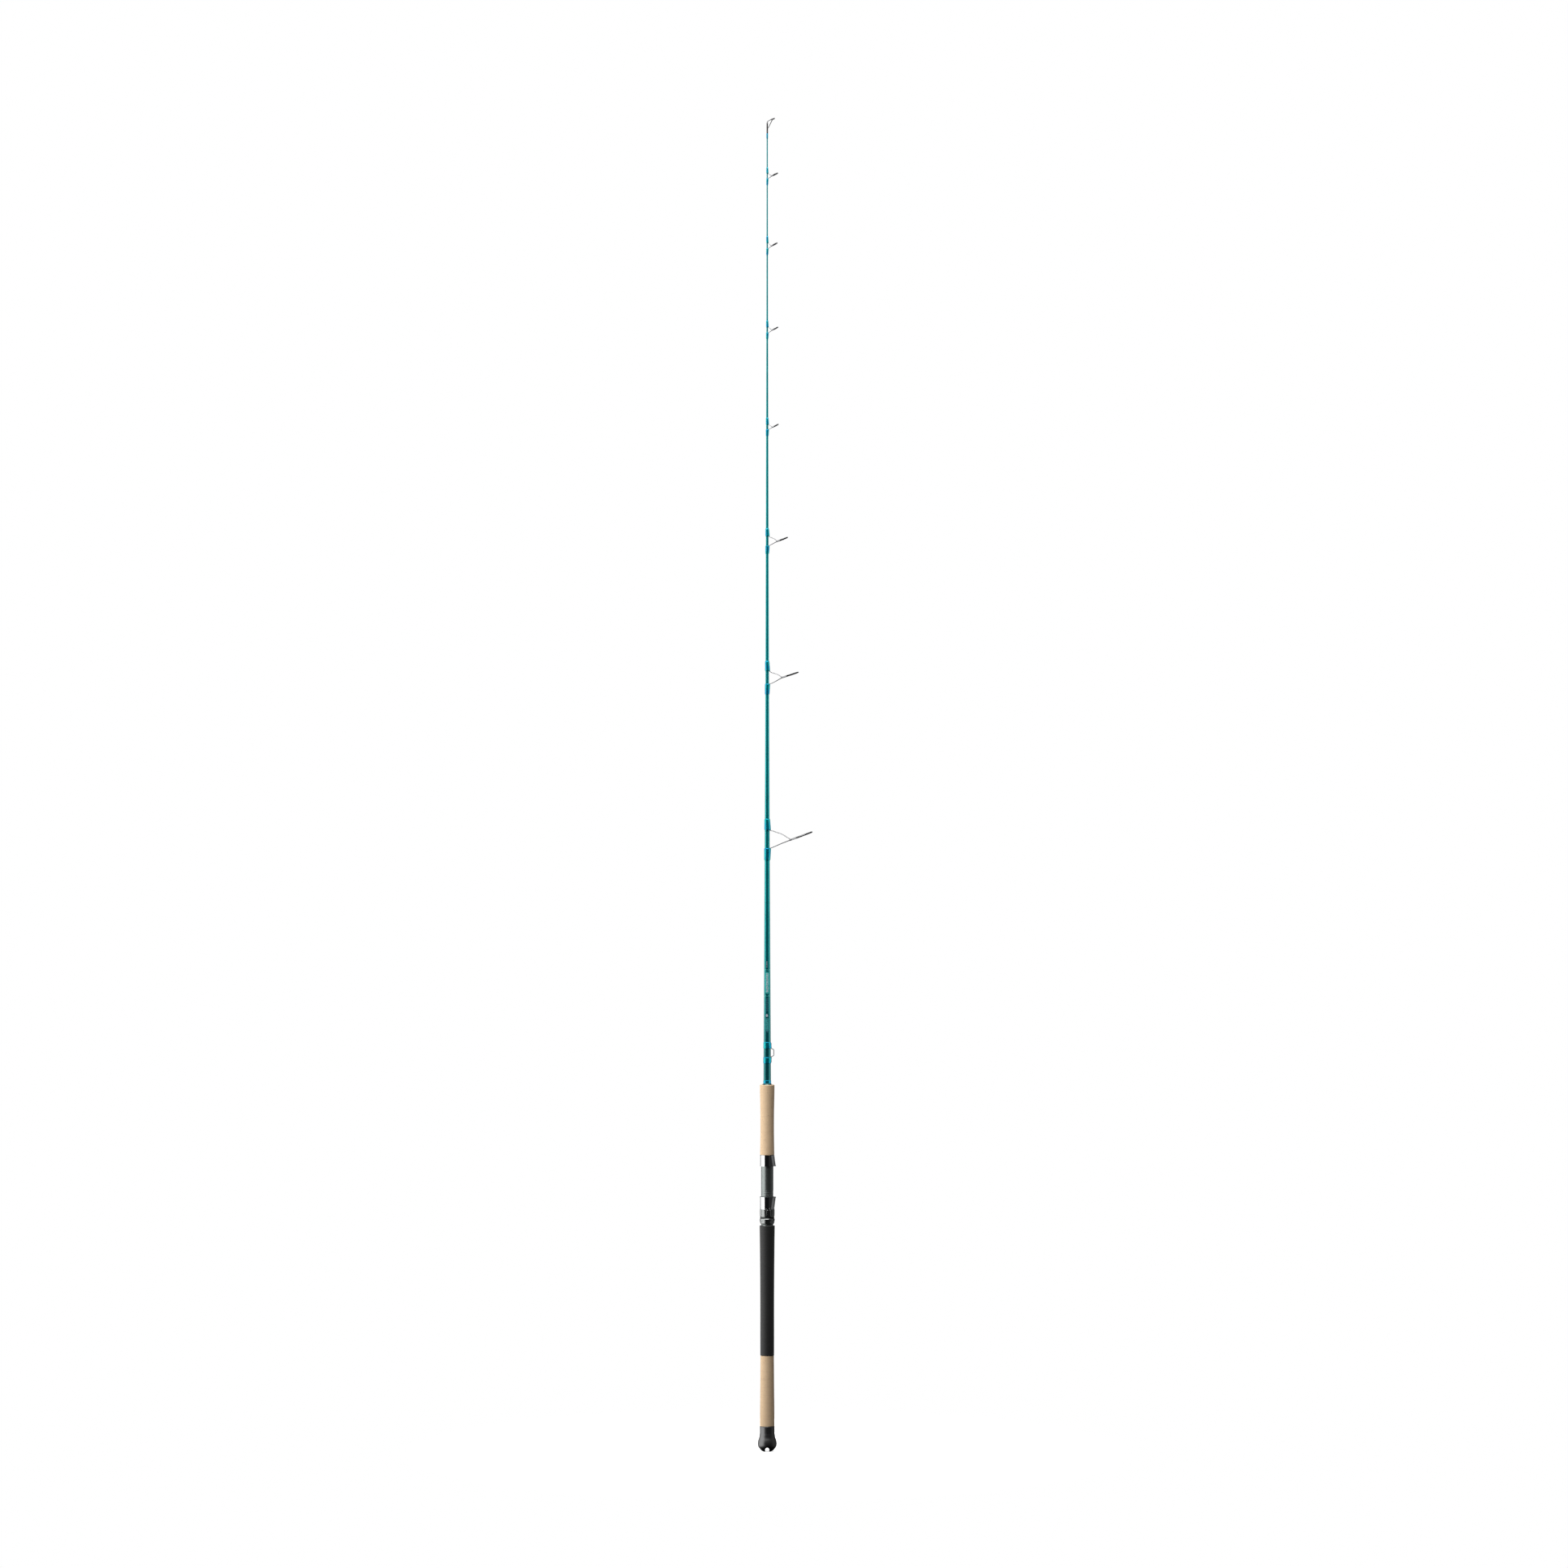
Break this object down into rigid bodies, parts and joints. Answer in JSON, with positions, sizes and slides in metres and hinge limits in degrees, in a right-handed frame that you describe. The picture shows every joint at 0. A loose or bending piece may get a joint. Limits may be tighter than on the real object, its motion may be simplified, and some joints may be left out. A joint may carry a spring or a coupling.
{
  "type": "fishing rod",
  "caption": "Fishing rod with a tapered one-piece blank, line guides, screw-locking reel seat without a reel, cork and foam grips and a slotted gimbal butt.",
  "frame": {"origin": "on the blank's axis, in the bottom plane of the gimbal butt, where its two slots cross", "axes": "+Z along the blank towards the tip; +X towards the side that the guides, hook keeper and reel foot are on; +Y across"},
  "size_m": [0.088, 0.04, 2.134],
  "materials": {
    "blank_teal": "clear-coated translucent teal over a dark composite tube",
    "wrap_turquoise": "turquoise winding thread under glossy epoxy",
    "cork": "sanded natural cork rings",
    "foam_black": "fine closed-cell foam, matte",
    "seat_graphite": "satin dark grey moulded composite",
    "nut_graphite": "satin dark grey moulded composite",
    "hood_chrome": "polished bright metal",
    "cushion_black": "black moulded liner",
    "guide_metal": "polished dark stainless wire and strip",
    "ring_ceramic": "polished dark grey ceramic",
    "check_black": "glossy dark trim",
    "gimbal_rubber": "satin dark grey rubber",
    "washer_dark": "glossy dark washer",
    "hidden_filler": "plain filler pieces inside"
  },
  "bodies": {
    "rod": {"blank": "blank_teal", "butt_plug": "hidden_filler", "gimbal_butt": "gimbal_rubber", "rear_grip_cork": "cork", "rear_grip_foam": "foam_black", "fore_grip_cork": "cork", "winding_check": "check_black", "butt_trim_wrap": "wrap_turquoise", "seat_barrel": "seat_graphite", "seat_arbors": "hidden_filler", "fixed_hood_shell": "hood_chrome", "fixed_hood_cushion": "cushion_black", "hook_keeper": "guide_metal", "hook_keeper_wraps": "wrap_turquoise", "guide_1_frame": "guide_metal", "guide_1_ring": "ring_ceramic", "guide_1_wraps": "wrap_turquoise", "guide_2_frame": "guide_metal", "guide_2_ring": "ring_ceramic", "guide_2_wraps": "wrap_turquoise", "guide_3_frame": "guide_metal", "guide_3_ring": "ring_ceramic", "guide_3_wraps": "wrap_turquoise", "guide_4_frame": "guide_metal", "guide_4_ring": "ring_ceramic", "guide_4_wraps": "wrap_turquoise", "guide_5_frame": "guide_metal", "guide_5_ring": "ring_ceramic", "guide_5_wraps": "wrap_turquoise", "guide_6_frame": "guide_metal", "guide_6_ring": "ring_ceramic", "guide_6_wraps": "wrap_turquoise", "guide_7_frame": "guide_metal", "guide_7_ring": "ring_ceramic", "guide_7_wraps": "wrap_turquoise", "tip_top_frame": "guide_metal", "tip_top_ring": "ring_ceramic", "tip_wrap": "wrap_turquoise"},
    "movable_hood": {"movable_hood_shell": "hood_chrome", "movable_hood_cushion": "cushion_black", "hood_thrust_ring": "hood_chrome"},
    "locking_nut": {"locking_nut": "nut_graphite"},
    "jam_washer": {"jam_washer": "washer_dark"},
    "jam_nut": {"jam_nut": "nut_graphite"}
  },
  "joints": [
    {"name": "hood_slide", "type": "slide", "parent": "rod", "child": "movable_hood", "axis": [0, 0, 1], "range_m": [-0.00005, 0.02296]},
    {"name": "nut_spin", "type": "hinge", "parent": "movable_hood", "child": "locking_nut", "pos_m": [0, 0, 0.38115], "axis": [0, 0, 1], "range_deg": [0, 3240]},
    {"name": "washer_slide", "type": "slide", "parent": "locking_nut", "child": "jam_washer", "axis": [0, 0, 1], "range_m": [-0.00222, 0.00005]},
    {"name": "jam_nut_spin", "type": "hinge", "parent": "jam_washer", "child": "jam_nut", "pos_m": [0, 0, 0.36825], "axis": [0, 0, 1], "range_deg": [-300, 0]}
  ],
  "couplings": [
    {"joint": "hood_slide", "follows": "nut_spin", "m_per_rad": 0.00040425},
    {"joint": "washer_slide", "follows": "jam_nut_spin", "m_per_rad": 0.00040425}
  ]
}
